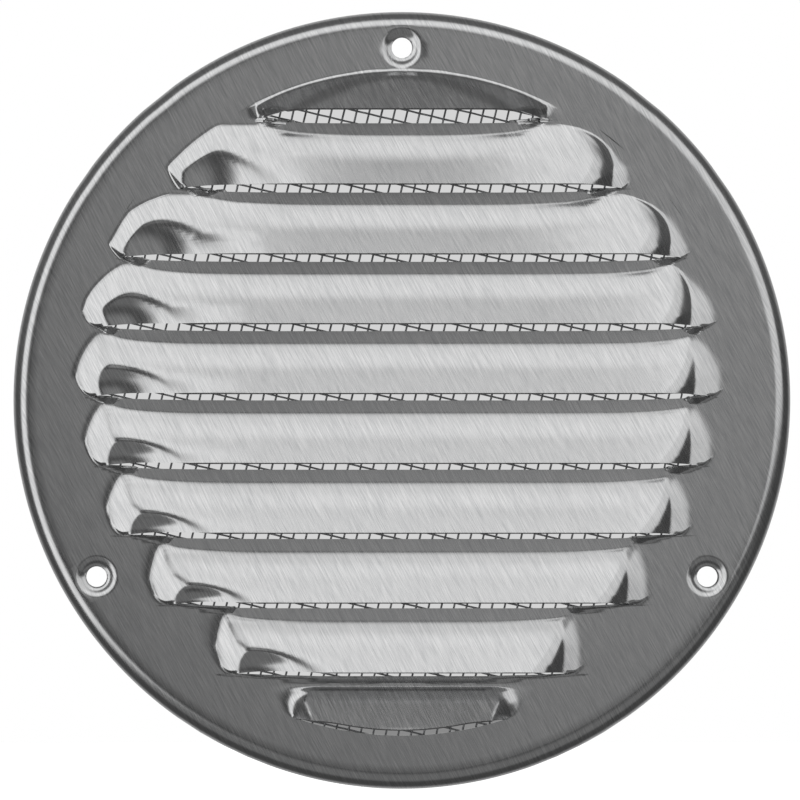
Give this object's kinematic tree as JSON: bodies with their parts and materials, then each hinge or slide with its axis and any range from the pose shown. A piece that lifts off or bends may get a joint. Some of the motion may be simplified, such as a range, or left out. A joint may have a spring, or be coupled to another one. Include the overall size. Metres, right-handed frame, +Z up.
{
  "type": "round vent cover",
  "caption": "Round pressed stainless vent cover with fixed downward louvres, a rolled rim, dimpled screw holes and a woven insect screen behind.",
  "frame": {"origin": "centre of the screw-hole circle, on the plane where the screw heads seat in the dimples", "axes": "+Z up the wall, +X to the right seen from the room, +Y into the wall; the louvres face -Y and open downwards"},
  "size_m": [0.19, 0.0127, 0.19],
  "materials": {
    "stainless_sheet": "long-grain brushed stainless sheet",
    "screen_wire": "drawn steel wire, plain weave"
  },
  "bodies": {
    "root": {"louvre_plate": "stainless_sheet", "insect_screen": "screen_wire"}
  },
  "joints": []
}
